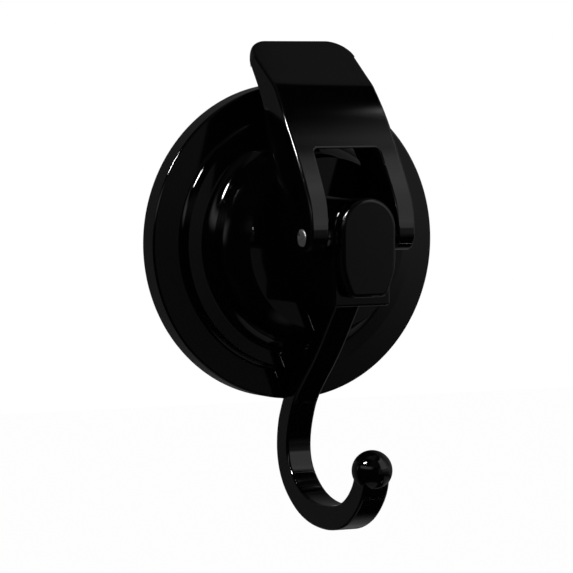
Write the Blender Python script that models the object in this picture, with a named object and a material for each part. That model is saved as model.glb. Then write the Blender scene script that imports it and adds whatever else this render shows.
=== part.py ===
import bmesh
import bpy
import numpy as np

for old in list(bpy.data.objects):
    bpy.data.objects.remove(old)

# Lengths are in millimetres and become metres where a mesh is made.
MM = 0.001
CLEAR = 0.3
SEAT = 0.05
# The wall is the plane Y 0, the hook stands off it towards -Y, and Z is up.
LIP_REACH = 1.8

# Housing, radii and heights above its own back rim
BASE_R = 35.0
RIM_WALL = 2.2
FLANGE_H = 5.0
FLANGE_EDGE = 0.8
STEP_R = 29.2
STEP_FILLET = 0.6
RING_R = 27.9
RING_H = 8.1
RING_EDGE = 0.6
DOME_FOOT_R = 24.3
DOME_FILLET = 1.6
DOME_TOP_R = 19.0
DOME_EDGE = 0.8
TOP_H = 20.0
SHELL_WALL = 2.3
COLLAR_R = 11.6
COLLAR_WALL = 1.4
COLLAR_REACH = 5.2
RIB_COUNT = 6
RIB_WALL = 1.3

# Hook body, its oval cap and the flat bar with the ball
BLOCK_HALF = 6.9
BLOCK_TOP = 10.6
BLOCK_LOW = -12.7
BLOCK_DEEP = 15.4
BLOCK_EDGE = 0.5
CAP_HALF = 6.65
CAP_TOP = 10.7
CAP_DEEP = 3.2
CAP_EDGE = 0.9
CAP_SIDE = [(6.65, -2.6), (6.42, -4.6), (5.85, -6.6), (5.1, -8.6), (4.55, -9.75), (4.1, -10.35), (3.5, -10.65)]
CAP_PEG_R = 1.2
CAP_PEG_DEEP = 2.6
BAR_WIDE = 6.2
BAR_THICK = 5.25
BAR_EDGE = 0.6
BAR_TAPER = ([-40.0, -36.5, -34.5, -30.0, -19.0, -8.0], [5.25, 4.9, 4.6, 4.6, 3.5, 3.4])
BALL_R = 4.4
# The upper bar's heights are counted from the dome's top, and those of the J from the housing's back.
SHANK_LINE = [(9.8, -8.2), (7.0, -11.7), (3.2, -16.55), (-0.5, -21.2), (-3.8, -24.9)]
J_LINE = [(12.85, -28.25), (9.3, -32.05), (7.4, -34.8), (6.15, -37.6), (5.15, -40.6), (4.6, -43.6), (4.6, -46.6),
          (5.3, -49.5), (6.75, -52.1), (9.0, -54.5), (12.6, -57.0), (16.9, -58.65), (21.8, -59.4),
          (26.6, -59.35), (31.0, -58.4), (34.9, -56.4), (37.9, -53.5), (39.4, -50.9), (40.0, -47.7)]

# Pivot and stem
PIVOT_BEHIND = 3.9
PIVOT_Z = 2.1
PIN_R = 1.9
PIN_FIT = 0.15
STEM_HALF_WIDTH = 3.2
STEM_EYE_R = 3.7
STEM_HEAD_R = 8.0
STEM_HEAD_H = 4.3
STEM_HEAD_DEEP = 2.2
STEM_EDGE = 0.3
STROKE = 2.0

# Lever, its outline counted from the pivot as (towards the viewer, up)
LEVER_HALF = 12.75
LEVER_SPREAD = 0.02
SPREAD_FROM = 22.0
SPREAD_OVER = 12.0
WINDOW_HALF = 8.2
WINDOW_TOP = 21.1
WINDOW_CORNER = 1.0
WINDOW_EDGE = 0.5
LEVER_EDGE = 0.6
LEVER_SKIN = 2.2
LEVER_CHEEK = 1.9
TIP_EDGE = 1.05
PADDLE_CORNER = 5.2
PADDLE_CURVE = 1.15
LEVER_FRONT = [(4.6, 3.9), (4.15, 6.1), (3.35, 8.1), (2.15, 10.4), (0.65, 12.9), (-0.85, 15.3),
               (-2.45, 17.8), (-4.05, 20.2), (-5.65, 22.6), (-7.3, 25.0), (-9.05, 27.4), (-11.0, 29.9),
               (-12.55, 31.9), (-13.3, 32.6), (-17.1, 35.35), (-20.0, 37.44), (-22.9, 39.53), (-27.1, 42.56)]
LEVER_BACK = [(-27.65, 40.75), (-25.2, 38.2), (-22.6, 34.5), (-20.3, 31.3), (-18.3, 28.3), (-16.9, 25.2),
              (-15.9, 21.9), (-14.6, 18.9), (-13.2, 17.0), (-11.5, 15.6)]
FRONT_POINTS = 40
BACK_POINTS = 24
END_MARGIN = 0.4
CAM_FRONT = 4.6
CAM_FRONT_EDGE = 5.0
CAM_BACK_EDGE = 2.0
CAM_LOW_Z = -0.9
CAM_SLOPE = 0.1

# Screws that hold the hook body to the housing
SCREW_Z = (8.4, -7.5)
SCREW_R = 0.95
SCREW_HEAD_R = 1.9
SCREW_HEAD_DEEP = 1.4
SCREW_LONG = 8.0
SCREW_CROSS = 0.65

# Suction disc
DISC_INSET = 1.5
LIP_WIDE = 6.5
LIP_THICK = 1.5
LIP_EDGE = 0.4
DISC_WEB = 2.6
DISC_RISE = 2.2
DISC_BOSS_R = 10.6
DISC_BOSS_H = 10.2

# Places that follow from the sizes above
CAM_BACK_H = TOP_H + CLEAR
BLOCK_FRONT_H = TOP_H + CLEAR + BLOCK_DEEP
PIVOT_H = BLOCK_FRONT_H - PIVOT_BEHIND
CAM_FRONT_H = PIVOT_H + CAM_FRONT
SLOT_HALF = STEM_HALF_WIDTH + CLEAR
SLOT_TOP = PIVOT_Z + STEM_EYE_R + CLEAR
SLOT_LOW = PIVOT_Z - STEM_EYE_R - CLEAR


def mesh_object(name, points, faces):
    """A new object whose mesh has these points, in millimetres off the wall as (x, height, z)."""
    points = np.asarray(points, float)
    place = np.column_stack([points[:, 0], -points[:, 1] - LIP_REACH, points[:, 2]])
    mesh = bpy.data.meshes.new(name)
    mesh.from_pydata((place * MM).tolist(), [], [list(map(int, face)) for face in faces])
    work = bmesh.new()
    work.from_mesh(mesh)
    bmesh.ops.remove_doubles(work, verts=work.verts, dist=1e-6)
    bmesh.ops.recalc_face_normals(work, faces=work.faces)
    if work.calc_volume(signed=True) < 0:
        bmesh.ops.reverse_faces(work, faces=work.faces)
    work.to_mesh(mesh)
    work.free()
    result = bpy.data.objects.new(name, mesh)
    bpy.context.scene.collection.objects.link(result)
    return result


def loft(name, rings):
    """A closed body through rings that all have the same number of points, its two ends filled."""
    rings = np.asarray(rings, float)
    count, size = rings.shape[:2]
    faces = []
    for row in range(count - 1):
        for k in range(size):
            a = row * size + k
            b = row * size + (k + 1) % size
            faces.append((a, b, b + size, a + size))
    faces.append(tuple(range(size))[::-1])
    faces.append(tuple((count - 1) * size + k for k in range(size)))
    return mesh_object(name, rings.reshape(-1, 3), faces)


def revolve(name, profile, steps, centre=(0.0, 0.0), axis="h"):
    """A turned body from a closed profile of (radius, height), about the height axis or about X."""
    profile = np.asarray(profile, float)
    turns = np.linspace(0, 2 * np.pi, steps, endpoint=False)
    points = []
    for turn in turns:
        for radius, height in profile:
            a, b = radius * np.cos(turn), radius * np.sin(turn)
            if axis == "h":
                points.append((centre[0] + a, height, centre[1] + b))
            else:
                points.append((height, centre[0] + a, centre[1] + b))
    size = len(profile)
    faces = []
    for row in range(steps):
        for k in range(size):
            a = row * size + k
            b = row * size + (k + 1) % size
            step = ((row + 1) % steps) * size - row * size
            ring = [a, b, b + step, a + step]
            if profile[k][0] < 1e-9 and profile[(k + 1) % size][0] < 1e-9:
                continue
            faces.append(ring)
    points, faces = weld_axis(np.array(points), faces)
    return mesh_object(name, points, faces)


def weld_axis(points, faces):
    """Makes one of the points that share a place, and drops what that leaves of a face."""
    keys = np.round(points * 1e5).astype(np.int64)
    _, first, index = np.unique(keys, axis=0, return_index=True, return_inverse=True)
    index = index.reshape(-1)
    clean = []
    for face in faces:
        ring = []
        for corner in face:
            if not ring or index[corner] != ring[-1]:
                ring.append(int(index[corner]))
        if len(ring) > 1 and ring[0] == ring[-1]:
            ring.pop()
        if len(ring) > 2:
            clean.append(ring)
    return points[first], clean


def inset(outline, distance):
    """A closed outline moved inwards by this distance, corner by corner."""
    outline = np.asarray(outline, float)
    forward = np.roll(outline, -1, 0) - outline
    forward /= np.linalg.norm(forward, axis=1)[:, None]
    back = np.roll(forward, 1, 0)
    area = np.sum(outline[:, 0] * np.roll(outline[:, 1], -1) - np.roll(outline[:, 0], -1) * outline[:, 1])
    side = 1.0 if area > 0 else -1.0
    normal = np.column_stack([-(forward + back)[:, 1], (forward + back)[:, 0]]) * side
    normal /= np.linalg.norm(normal, axis=1)[:, None]
    edge = np.column_stack([-forward[:, 1], forward[:, 0]]) * side
    lean = np.maximum(np.sum(normal * edge, axis=1), 0.5)
    return outline + normal * (distance / lean)[:, None]


def quarter(steps):
    """Pairs of (inset share, depth share) round a quarter circle, from the side to the flat."""
    turns = np.linspace(0, np.pi / 2, steps + 1)
    return [(1 - np.cos(turn), np.sin(turn)) for turn in turns]


def rounded(corners, radii, steps=5):
    """A closed outline with each corner replaced by an arc of the given radius."""
    corners = np.asarray(corners, float)
    result = []
    for k, radius in enumerate(radii):
        here = corners[k]
        if radius <= 0:
            result.append(here)
            continue
        to_last = corners[k - 1] - here
        to_next = corners[(k + 1) % len(corners)] - here
        to_last /= np.linalg.norm(to_last)
        to_next /= np.linalg.norm(to_next)
        half = np.arccos(np.clip(to_last @ to_next, -1, 1)) / 2
        reach = radius / np.tan(half)
        middle = here + (to_last + to_next) / np.linalg.norm(to_last + to_next) * radius / np.sin(half)
        start = here + to_last * reach - middle
        end = here + to_next * reach - middle
        turn = np.arctan2(start[0] * end[1] - start[1] * end[0], start @ end)
        for share in np.linspace(0, 1, steps + 1):
            angle = turn * share
            spin = np.array([[np.cos(angle), -np.sin(angle)], [np.sin(angle), np.cos(angle)]])
            result.append(middle + spin @ start)
    return np.array(result)


def prism(name, outline, low, high, low_edge=0.0, high_edge=0.0, along="h", steps=3):
    """An outline of (x, z) raised along the height, or of (height, z) along X, with rounded end edges."""
    stations = []
    if low_edge > 0:
        stations += [(low + low_edge * (1 - b), low_edge * a) for a, b in reversed(quarter(steps))]
    else:
        stations.append((low, 0.0))
    if high_edge > 0:
        stations += [(high - high_edge * (1 - b), high_edge * a) for a, b in quarter(steps)]
    else:
        stations.append((high, 0.0))
    rings = []
    for place, amount in stations:
        flat = inset(outline, amount)
        if along == "h":
            rings.append([(x, place, z) for x, z in flat])
        else:
            rings.append([(place, h, z) for h, z in flat])
    return loft(name, rings)


def smooth_line(points, per_span):
    """A smooth line through the points, with centripetal tangents."""
    points = np.asarray(points, float)
    padded = np.vstack([2 * points[0] - points[1], points, 2 * points[-1] - points[-2]])
    result = []
    for k in range(1, len(padded) - 2):
        p0, p1, p2, p3 = padded[k - 1], padded[k], padded[k + 1], padded[k + 2]
        t1 = np.linalg.norm(p1 - p0) ** 0.5
        t2 = t1 + np.linalg.norm(p2 - p1) ** 0.5
        t3 = t2 + np.linalg.norm(p3 - p2) ** 0.5
        for t in np.linspace(t1, t2, per_span, endpoint=False):
            a1 = (t1 - t) / t1 * p0 + t / t1 * p1
            a2 = (t2 - t) / (t2 - t1) * p1 + (t - t1) / (t2 - t1) * p2
            a3 = (t3 - t) / (t3 - t2) * p2 + (t - t2) / (t3 - t2) * p3
            b1 = (t2 - t) / t2 * a1 + t / t2 * a2
            b2 = (t3 - t) / (t3 - t1) * a2 + (t - t1) / (t3 - t1) * a3
            result.append((t2 - t) / (t2 - t1) * b1 + (t - t1) / (t2 - t1) * b2)
    result.append(points[-1])
    return np.array(result)


def spaced(line, count):
    """The same line with this many points at equal steps."""
    gone = np.concatenate([[0], np.cumsum(np.linalg.norm(np.diff(line, axis=0), axis=1))])
    at = np.linspace(0, gone[-1], count)
    return np.column_stack([np.interp(at, gone, line[:, 0]), np.interp(at, gone, line[:, 1])])


def combine(target, others, operation):
    """Applies one exact Boolean after another to the target and removes what it used."""
    for other in others:
        step = target.modifiers.new(operation, "BOOLEAN")
        step.operation = operation
        step.solver = "EXACT"
        step.object = other
        other.hide_render = True
        other.display_type = "WIRE"
        graph = bpy.context.evaluated_depsgraph_get()
        whole = bpy.data.meshes.new_from_object(target.evaluated_get(graph))
        target.modifiers.clear()
        spare = target.data
        target.data = whole
        bpy.data.meshes.remove(spare)
        bpy.data.objects.remove(other)
    whole = target.data
    work = bmesh.new()
    work.from_mesh(whole)
    bmesh.ops.remove_doubles(work, verts=work.verts, dist=1e-7)
    work.to_mesh(whole)
    work.free()


def circle(centre, radius, steps):
    """A round outline."""
    turns = np.linspace(0, 2 * np.pi, steps, endpoint=False) + 0.07
    return np.column_stack([centre[0] + radius * np.cos(turns), centre[1] + radius * np.sin(turns)])


def box_outline(x0, x1, z0, z1, radius=0.0, steps=3):
    """A rectangle with rounded corners."""
    return rounded([(x0, z0), (x1, z0), (x1, z1), (x0, z1)], [radius] * 4, steps)


def paint(target, colour, roughness, metallic=0.0, name=None):
    """Gives the object its own plain material."""
    material = bpy.data.materials.new(name or target.name)
    material.use_nodes = True
    shader = material.node_tree.nodes["Principled BSDF"]
    shader.inputs["Base Color"].default_value = (*colour, 1.0)
    shader.inputs["Roughness"].default_value = roughness
    shader.inputs["Metallic"].default_value = metallic
    target.data.materials.clear()
    target.data.materials.append(material)


# Housing: a turned shell, open at the back, with a collar and ribs inside
roof = TOP_H - SHELL_WALL
collar_low = roof - COLLAR_REACH
section = [(BASE_R, 0.0, 0.0), (BASE_R, FLANGE_H, FLANGE_EDGE), (STEP_R, FLANGE_H, STEP_FILLET),
           (RING_R, RING_H, RING_EDGE), (DOME_FOOT_R, RING_H, DOME_FILLET), (DOME_TOP_R, TOP_H, DOME_EDGE),
           (0.0, TOP_H, 0.0), (0.0, roof, 0.0), (COLLAR_R, roof, 0.0), (COLLAR_R, collar_low, 0.0),
           (COLLAR_R + COLLAR_WALL, collar_low, 0.0), (COLLAR_R + COLLAR_WALL, roof, 0.0),
           (DOME_TOP_R - 0.7 * SHELL_WALL, roof, 0.0), (DOME_FOOT_R - SHELL_WALL, RING_H, DOME_FILLET),
           (RING_R - SHELL_WALL, RING_H - SHELL_WALL, 0.0), (STEP_R - RIM_WALL, FLANGE_H - RIM_WALL, 0.0),
           (BASE_R - RIM_WALL, FLANGE_H - RIM_WALL, STEP_FILLET), (BASE_R - RIM_WALL, 0.0, 0.0)]
housing = revolve("housing", rounded([corner[:2] for corner in section], [corner[2] for corner in section], 3), 80)
ribs = []
# A rib runs from the collar to the dome's wall, its ends sunk into both.
dome_in = np.array([DOME_FOOT_R - SHELL_WALL, RING_H]) + SHELL_WALL * np.array([0.35, 0.25])
roof_in = np.array([DOME_TOP_R - SHELL_WALL / 2, TOP_H - SHELL_WALL / 2])
collar_in = COLLAR_R + COLLAR_WALL / 2
for number in range(RIB_COUNT):
    turn = 2 * np.pi * number / RIB_COUNT
    along = np.array([np.cos(turn), np.sin(turn)])
    across = np.array([-along[1], along[0]]) * RIB_WALL / 2
    corners = [(collar_in, TOP_H - SHELL_WALL / 2), (collar_in, collar_low + COLLAR_WALL / 2),
               (dome_in[0], dome_in[1] + COLLAR_WALL), (roof_in[0], roof_in[1])]
    rings = []
    for side in (-1, 1):
        offset = across * side
        rings.append([(r * along[0] + offset[0], height, r * along[1] + offset[1]) for r, height in corners])
    ribs.append(loft("rib", rings))
combine(housing, ribs, "UNION")
beyond = SHELL_WALL
slot_outline = box_outline(-SLOT_HALF, SLOT_HALF, SLOT_LOW, SLOT_TOP, 0.25 * SLOT_HALF)
cutters = [prism("slot", slot_outline, roof - beyond, TOP_H + beyond)]
for place in SCREW_Z:
    cutters.append(prism("hole", circle((0, place), SCREW_R + CLEAR, 20), roof - beyond, TOP_H + beyond))
combine(housing, cutters, "DIFFERENCE")

# Suction disc: soft, pulled up in the middle, its lip flat on the wall
lip = LIP_REACH
disc_r = BASE_R - DISC_INSET
lip_in = disc_r - LIP_WIDE
mouth = np.hypot(STEM_HALF_WIDTH, PIVOT_Z + STEM_EYE_R) + CLEAR
pocket_low = STEM_HEAD_H - CLEAR
pocket_high = STEM_HEAD_H + STEM_HEAD_DEEP + CLEAR
section = [(disc_r, -lip, LIP_EDGE), (disc_r, LIP_THICK - lip, LIP_EDGE), (lip_in, LIP_THICK - lip, LIP_WIDE)]
section += [(DISC_BOSS_R + DISC_WEB, DISC_RISE + DISC_WEB - lip, DISC_WEB / 2)]
section += [(DISC_BOSS_R, DISC_RISE + 1.5 * DISC_WEB - lip, 0.0), (DISC_BOSS_R, DISC_BOSS_H - lip, LIP_EDGE)]
section += [(mouth, DISC_BOSS_H - lip, 0.0), (mouth, pocket_high, 0.0), (STEM_HEAD_R + CLEAR, pocket_high, 0.0)]
section += [(STEM_HEAD_R + CLEAR, pocket_low, 0.0), (0.0, pocket_low, 0.0), (0.0, DISC_RISE - lip, 0.0)]
section += [(0.75 * DISC_BOSS_R, DISC_RISE - lip, LIP_WIDE), (lip_in, -lip, LIP_WIDE)]
suction_disc = revolve("suction_disc", rounded([corner[:2] for corner in section],
                                               [corner[2] for corner in section], 4), 56)

# Stem: a round head in the disc's boss and a flat bar up to the eye on the pin
head_low, head_high = STEM_HEAD_H, STEM_HEAD_H + STEM_HEAD_DEEP
head = [(0.0, head_low), (STEM_HEAD_R - STEM_EDGE, head_low), (STEM_HEAD_R, head_low + STEM_EDGE)]
head += [(STEM_HEAD_R, head_high - STEM_EDGE), (STEM_HEAD_R - STEM_EDGE, head_high), (0.0, head_high)]
stem = revolve("stem", head, 48)
bar = [(head_low + STEM_HEAD_DEEP / 2, PIVOT_Z - STEM_EYE_R), (head_low + STEM_HEAD_DEEP / 2, PIVOT_Z + STEM_EYE_R)]
for turn in np.radians(np.linspace(90, -90, 17)):
    bar.append((PIVOT_H + STEM_EYE_R * np.cos(turn), PIVOT_Z + STEM_EYE_R * np.sin(turn)))
shank = prism("bar", bar, -STEM_HALF_WIDTH, STEM_HALF_WIDTH, 1.6 * STEM_EDGE, 1.6 * STEM_EDGE, along="x", steps=2)
combine(stem, [shank], "UNION")
eye = prism("eye", circle((PIVOT_H, PIVOT_Z), PIN_R + PIN_FIT, 32), -LEVER_HALF, LEVER_HALF, along="x")
combine(stem, [eye], "DIFFERENCE")

# Pivot pin: a plain pin with domed ends, through both cheeks and the stem's eye
half = LEVER_HALF + PIN_FIT
pin = [(0.0, -half), (0.47 * PIN_R, -half + 0.05 * PIN_R), (0.8 * PIN_R, -half + 0.18 * PIN_R)]
pin += [(PIN_R, -half + 0.47 * PIN_R), (PIN_R, half - 0.47 * PIN_R)]
pin += [(0.8 * PIN_R, half - 0.18 * PIN_R), (0.47 * PIN_R, half - 0.05 * PIN_R), (0.0, half)]
pivot_pin = revolve("pivot_pin", pin, 32, centre=(PIVOT_H, PIVOT_Z), axis="x")

PIVOT = np.array([PIVOT_H, PIVOT_Z])
FRONT_LINE = np.array(LEVER_FRONT) + PIVOT
BACK_LINE = np.array(LEVER_BACK) + PIVOT


def lever_outline(retreat):
    """The lever's side outline as (height, z), its tip drawn back by this much along the paddle."""
    front = FRONT_LINE
    along = front[-1] - front[-2]
    along /= np.linalg.norm(along)
    cut = front[-1] - along * retreat
    front = np.vstack([smooth_line(front[:-1], 3), front[-1:]])
    reach = (front - cut) @ along
    front = front[reach < -END_MARGIN]
    front = np.vstack([front, [cut]])
    back = smooth_line(BACK_LINE, 3)
    behind = (back - cut) @ along
    keep = back[behind < -END_MARGIN]
    # The end face stands square to the paddle, so the back line starts where it meets that face.
    across = np.array([-along[1], along[0]])
    for k in range(len(back) - 1):
        if behind[k] >= -END_MARGIN > behind[k + 1]:
            share = (behind[k] + END_MARGIN) / (behind[k] - behind[k + 1])
            meet = back[k] + (back[k + 1] - back[k]) * share
            break
    else:
        meet = back[0]
    deep = abs((meet - cut) @ across)
    corner = cut + across * deep * (1 if (meet - cut) @ across > 0 else -1)
    front = spaced(front, FRONT_POINTS)
    back = spaced(np.vstack([[corner], keep]), BACK_POINTS)
    low_front = (CAM_FRONT_H, CAM_LOW_Z - CAM_SLOPE)
    low_back = (CAM_BACK_H, CAM_LOW_Z)
    corners = [low_back, low_front] + front.tolist() + back.tolist()
    radii = [CAM_BACK_EDGE, CAM_FRONT_EDGE] + [0.0] * (FRONT_POINTS + BACK_POINTS)
    tip = 2 + FRONT_POINTS
    radii[tip - 1] = TIP_EDGE if deep > 2 * TIP_EDGE else deep * 0.49
    radii[tip] = radii[tip - 1]
    return rounded(corners, radii, 6)


# Lever: lofted across its width, then the window, the hollow back and the pin holes are cut
rings = []
stations = []
for share, deep in reversed(quarter(4)):
    stations.append((-LEVER_HALF + LEVER_EDGE * (1 - deep), LEVER_EDGE * share))
near, far = WINDOW_HALF + WINDOW_EDGE, LEVER_HALF - LEVER_EDGE
lines = [near + (far - near) * share for share in (0.12, 0.5, 0.85)]
lines = [-x for x in reversed(lines)] + [0.0] + lines
stations += [(x, 0.0) for x in lines]
for share, deep in quarter(4):
    stations.append((LEVER_HALF - LEVER_EDGE * (1 - deep), LEVER_EDGE * share))
for x, amount in stations:
    beyond = max(0.0, abs(x) - (LEVER_HALF - PADDLE_CORNER)) / PADDLE_CORNER
    retreat = PADDLE_CURVE * PADDLE_CORNER * (1 - np.sqrt(max(0.0, 1 - min(beyond, 0.995) ** 2)))
    flat = inset(lever_outline(retreat), amount)
    rise = np.clip((flat[:, 1] - SPREAD_FROM) / SPREAD_OVER, 0, 1)
    wide = x * (1 + LEVER_SPREAD * rise * rise * (3 - 2 * rise))
    rings.append(np.column_stack([wide, flat]))
lever = loft("lever", rings)
window_outline = box_outline(-WINDOW_HALF, WINDOW_HALF, CAM_LOW_Z - WINDOW_TOP, WINDOW_TOP, WINDOW_CORNER, 3)
window = prism("window", window_outline, PIVOT_H - WINDOW_TOP, CAM_FRONT_H + CAM_FRONT)
front = smooth_line(FRONT_LINE, 4)
forward = np.gradient(front, axis=0)
forward /= np.linalg.norm(forward, axis=1)[:, None]
skin = front - np.column_stack([forward[:, 1], -forward[:, 0]]) * LEVER_SKIN
highest = FRONT_LINE[-1][1] - 2.3 * LEVER_SKIN
keep = skin[(skin[:, 1] > WINDOW_TOP + LEVER_SKIN) & (skin[:, 1] < highest)]
hollow_line = np.vstack([[(keep[0][0], WINDOW_TOP + LEVER_SKIN)], keep])
behind = FRONT_LINE[-1][0] - LEVER_SKIN
hollow_outline = np.vstack([hollow_line, [(behind, highest + LEVER_SKIN / 2)], [(behind, WINDOW_TOP + LEVER_SKIN)]])
hollow_half = LEVER_HALF - LEVER_CHEEK
hollow = prism("hollow", hollow_outline, -hollow_half, hollow_half, along="x")
pin_hole = prism("pin_hole", circle(PIVOT, PIN_R + PIN_FIT, 32), -1.2 * LEVER_HALF, 1.2 * LEVER_HALF, along="x")
combine(lever, [window], "DIFFERENCE")
work = bmesh.new()
work.from_mesh(lever.data)
rim = []
for edge in work.edges:
    if len(edge.link_faces) != 2:
        continue
    ends = np.array([vertex.co for vertex in edge.verts]) / MM
    inner = [face for face in edge.link_faces if abs(face.normal.y) < 0.05]
    outer = [face for face in edge.link_faces if face.normal.y < -0.25]
    near = np.abs(ends[:, 0]).max() < WINDOW_HALF * (1 + LEVER_SPREAD)
    if near and inner and outer:
        rim.append(edge)
bmesh.ops.bevel(work, geom=rim, offset=WINDOW_EDGE * MM, segments=3, profile=0.5, affect="EDGES",
                clamp_overlap=True)
bmesh.ops.remove_doubles(work, verts=work.verts, dist=1e-7)
work.to_mesh(lever.data)
work.free()
combine(lever, [hollow, pin_hole], "DIFFERENCE")

# Hook: block, flat bar swept along the J, and the ball on its tip
arch = [(BLOCK_HALF * np.cos(t), BLOCK_TOP - BLOCK_HALF + BLOCK_HALF * np.sin(t)) for t in np.linspace(0, np.pi, 25)]
block = rounded([(-BLOCK_HALF, BLOCK_LOW), (BLOCK_HALF, BLOCK_LOW)] + arch, [0.6, 0.6] + [0.0] * 25, 3)
hook = prism("hook", block, TOP_H + CLEAR, BLOCK_FRONT_H, 0.6 * BLOCK_EDGE, BLOCK_EDGE, steps=2)
hook_line = [(TOP_H + height, z) for height, z in SHANK_LINE] + J_LINE
line = spaced(smooth_line(hook_line, 6), 58)
along = np.gradient(line, axis=0)
along /= np.linalg.norm(along, axis=1)[:, None]
section = box_outline(-BAR_WIDE / 2, BAR_WIDE / 2, -BAR_THICK / 2, BAR_THICK / 2, BAR_EDGE, 3)
rings = []
for point, way in zip(line, along):
    out = np.array([-way[1], way[0]])
    thick = np.interp(point[1], *BAR_TAPER) if way[1] < 0 else BAR_THICK
    deep = [BAR_THICK / 2 - (BAR_THICK / 2 - d) * thick / BAR_THICK for d in section[:, 1]]
    rings.append([(x, point[0] + out[0] * d, point[1] + out[1] * d) for x, d in zip(section[:, 0], deep)])
bar = loft("bar", rings)
ball_rings = np.radians(np.linspace(-90, 90, 19))
ball = revolve("ball", [(BALL_R * np.cos(t), BALL_R * np.sin(t) + line[-1][0]) for t in ball_rings], 36,
               centre=(0.0, line[-1][1]))
combine(hook, [bar, ball], "UNION")
cutters = [prism("slot", slot_outline, roof, BLOCK_FRONT_H + CAP_DEEP)]
track = box_outline(PIVOT_H - PIN_R - STROKE - CLEAR, PIVOT_H + PIN_R + CLEAR,
                    PIVOT_Z - PIN_R - CLEAR, PIVOT_Z + PIN_R + CLEAR, PIN_R, 5)
cutters.append(prism("track", track, -1.3 * BLOCK_HALF, 1.3 * BLOCK_HALF, along="x"))
for place in SCREW_Z:
    cutters.append(prism("hole", circle((0, place), SCREW_R + CLEAR, 20), roof, TOP_H + 1.2 * SCREW_LONG))
for place in SCREW_Z:
    peg_hole = circle((0, place), CAP_PEG_R + CLEAR, 20)
    cutters.append(prism("peg_hole", peg_hole, BLOCK_FRONT_H - CAP_PEG_DEEP - CLEAR, BLOCK_FRONT_H + CAP_DEEP))
combine(hook, cutters, "DIFFERENCE")

# Oval cap over the block's front, on two pegs
side = [(CAP_HALF * np.cos(t), CAP_TOP - CAP_HALF + CAP_HALF * np.sin(t)) for t in np.linspace(0, np.pi / 2, 13)]
right = smooth_line(CAP_SIDE, 3)[::-1].tolist() + side
left = [(-x, z) for x, z in right[:-1]]
cap_outline = np.array(right + left[::-1])
cap_back = BLOCK_FRONT_H + SEAT
front_cap = prism("front_cap", cap_outline, cap_back, BLOCK_FRONT_H + CAP_DEEP, 0.0, CAP_EDGE, steps=4)
pegs = [prism("peg", circle((0, place), CAP_PEG_R, 20), BLOCK_FRONT_H - CAP_PEG_DEEP, cap_back + CAP_DEEP / 3)
        for place in SCREW_Z]
combine(front_cap, pegs, "UNION")

# Screws from inside the housing into the hook body
screws = []
for label, place in zip(("upper", "lower"), SCREW_Z):
    seat = roof - SEAT
    low = seat - SCREW_HEAD_DEEP
    tip = TOP_H + SCREW_LONG
    shape = [(0.0, low + SCREW_CROSS), (0.6 * SCREW_CROSS, low + SCREW_CROSS), (SCREW_CROSS, low)]
    shape += [(SCREW_HEAD_R - SCREW_CROSS, low), (SCREW_HEAD_R, low + SCREW_CROSS), (SCREW_HEAD_R, seat)]
    shape += [(SCREW_R, seat), (SCREW_R, tip - SCREW_R), (0.4 * SCREW_R, tip), (0.0, tip)]
    screws.append(revolve("hook_screw_" + label, shape, 24, centre=(0.0, place)))

BLACK = (0.012, 0.012, 0.013)
for piece in (housing, hook, front_cap, lever):
    paint(piece, BLACK, 0.12)
paint(suction_disc, (0.55, 0.57, 0.58), 0.45)
paint(stem, (0.045, 0.045, 0.048), 0.4)
for piece in [pivot_pin] + screws:
    paint(piece, (0.55, 0.55, 0.56), 0.35, 1.0)

# The lever turns about the pin and the stem slides off the wall, so their origins sit on the pin's axis.
pivot = np.array([0.0, -PIVOT_H - LIP_REACH, PIVOT_Z]) * MM
for piece in (lever, pivot_pin, stem):
    shift = np.array([vertex.co for vertex in piece.data.vertices]) - pivot
    piece.data.vertices.foreach_set("co", shift.ravel())
    piece.location = pivot
    piece.data.update()
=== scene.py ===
import math

import bmesh
import bpy
import numpy as np
from mathutils import Matrix, Vector


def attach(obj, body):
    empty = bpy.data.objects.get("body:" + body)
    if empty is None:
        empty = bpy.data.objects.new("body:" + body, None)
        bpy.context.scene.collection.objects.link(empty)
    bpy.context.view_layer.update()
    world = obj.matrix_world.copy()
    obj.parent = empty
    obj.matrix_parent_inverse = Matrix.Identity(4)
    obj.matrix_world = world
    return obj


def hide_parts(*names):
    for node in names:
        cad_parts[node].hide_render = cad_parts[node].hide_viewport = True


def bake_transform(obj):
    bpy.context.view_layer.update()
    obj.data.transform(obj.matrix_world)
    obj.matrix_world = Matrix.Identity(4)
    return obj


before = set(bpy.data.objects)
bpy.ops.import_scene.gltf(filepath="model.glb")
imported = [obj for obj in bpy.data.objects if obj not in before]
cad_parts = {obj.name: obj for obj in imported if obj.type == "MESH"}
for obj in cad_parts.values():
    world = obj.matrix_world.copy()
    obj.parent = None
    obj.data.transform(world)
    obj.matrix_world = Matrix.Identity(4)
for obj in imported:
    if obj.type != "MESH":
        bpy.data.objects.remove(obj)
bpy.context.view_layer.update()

mm = 0.001
wallGap = 1.8      # heights are counted from the housing's back rim, which stands this far off the wall
cutPast = 3.0      # a cutter runs this far past the face that it opens
weld = 2e-7        # points closer than this, in metres, become one
sharpAngle = math.radians(32.0)     # edges that turn by more than this stay hard
print("stage 1: frame loaded")


# Shader helpers

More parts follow.
